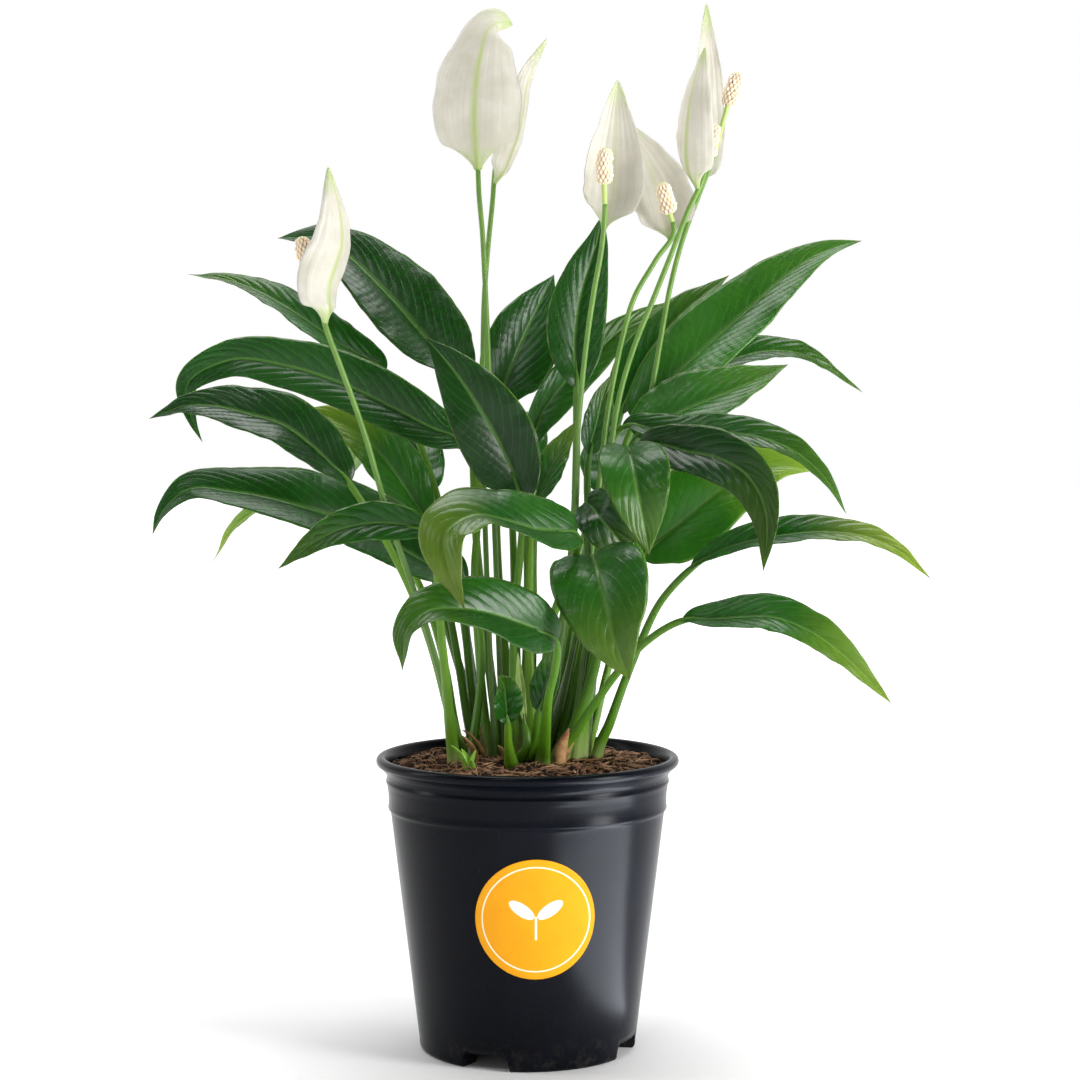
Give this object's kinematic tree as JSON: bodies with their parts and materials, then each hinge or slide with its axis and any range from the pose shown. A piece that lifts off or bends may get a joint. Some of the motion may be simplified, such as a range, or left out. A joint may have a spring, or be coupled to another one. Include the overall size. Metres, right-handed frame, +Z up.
{
  "type": "potted peace lily",
  "caption": "Peace lily houseplant with arching stalked leaves and white cupped flowers, growing in soil in a round tapered plastic nursery pot with a plain round sticker.",
  "frame": {"origin": "on the pot's axis, in the plane its feet stand on", "axes": "+Z up, -Y the front that the sticker and most flowers face, +X to the right seen from the front"},
  "size_m": [0.406, 0.294, 0.577],
  "materials": {
    "pot": "satin black polypropylene",
    "potting_mix": "moist peat and coconut fibre, loose and rough",
    "sticker": "satin printed film, plain",
    "leaf": "glossy ribbed leaf, green stalk",
    "flower_stem": "smooth satin green stalk",
    "spathe": "soft white petal-like leaf with a green midrib",
    "spadix": "matte, bumpy cream rod of tiny flowers"
  },
  "bodies": {
    "root": {"flower_stem_1": "flower_stem", "flower_stem_2": "flower_stem", "flower_stem_3": "flower_stem", "flower_stem_4": "flower_stem", "flower_stem_5": "flower_stem", "flower_stem_6": "flower_stem", "flower_stem_7": "flower_stem", "leaf_back_centre": "leaf", "leaf_back_left_broad": "leaf", "leaf_back_left_slim": "leaf", "leaf_centre_dark": "leaf", "leaf_centre_slim": "leaf", "leaf_centre_upright": "leaf", "leaf_front_low_grey": "leaf", "leaf_front_pale": "leaf", "leaf_front_right_hanging": "leaf", "leaf_front_small_curled": "leaf", "leaf_front_small_rolled": "leaf", "leaf_front_upright_dark": "leaf", "leaf_left_arching": "leaf", "leaf_left_behind_tip": "leaf", "leaf_left_front_slim": "leaf", "leaf_left_inner": "leaf", "leaf_left_long": "leaf", "leaf_left_low_big": "leaf", "leaf_left_low_pale": "leaf", "leaf_rear_centre": "leaf", "leaf_rear_left": "leaf", "leaf_rear_right": "leaf", "leaf_right_arching_grey": "leaf", "leaf_right_bright": "leaf", "leaf_right_dark_drooping": "leaf", "leaf_right_dark_hanging": "leaf", "leaf_right_far_arching": "leaf", "leaf_right_grey_hanging": "leaf", "leaf_right_long_stalk": "leaf", "leaf_right_low": "leaf", "leaf_right_mid_dark": "leaf", "leaf_rolled_spear": "leaf", "leaf_sheath_front": "leaf", "leaf_striped_slim": "leaf", "leaf_upper_right_big": "leaf", "leaf_upper_right_hidden": "leaf", "pot": "pot", "potting_mix": "potting_mix", "spadix_1": "spadix", "spadix_2": "spadix", "spadix_3": "spadix", "spadix_4": "spadix", "spadix_5": "spadix", "spadix_6": "spadix", "spadix_7": "spadix", "spathe_1": "spathe", "spathe_2": "spathe", "spathe_3": "spathe", "spathe_4": "spathe", "spathe_5": "spathe", "spathe_6": "spathe", "spathe_7": "spathe", "sticker": "sticker"}
  },
  "joints": []
}
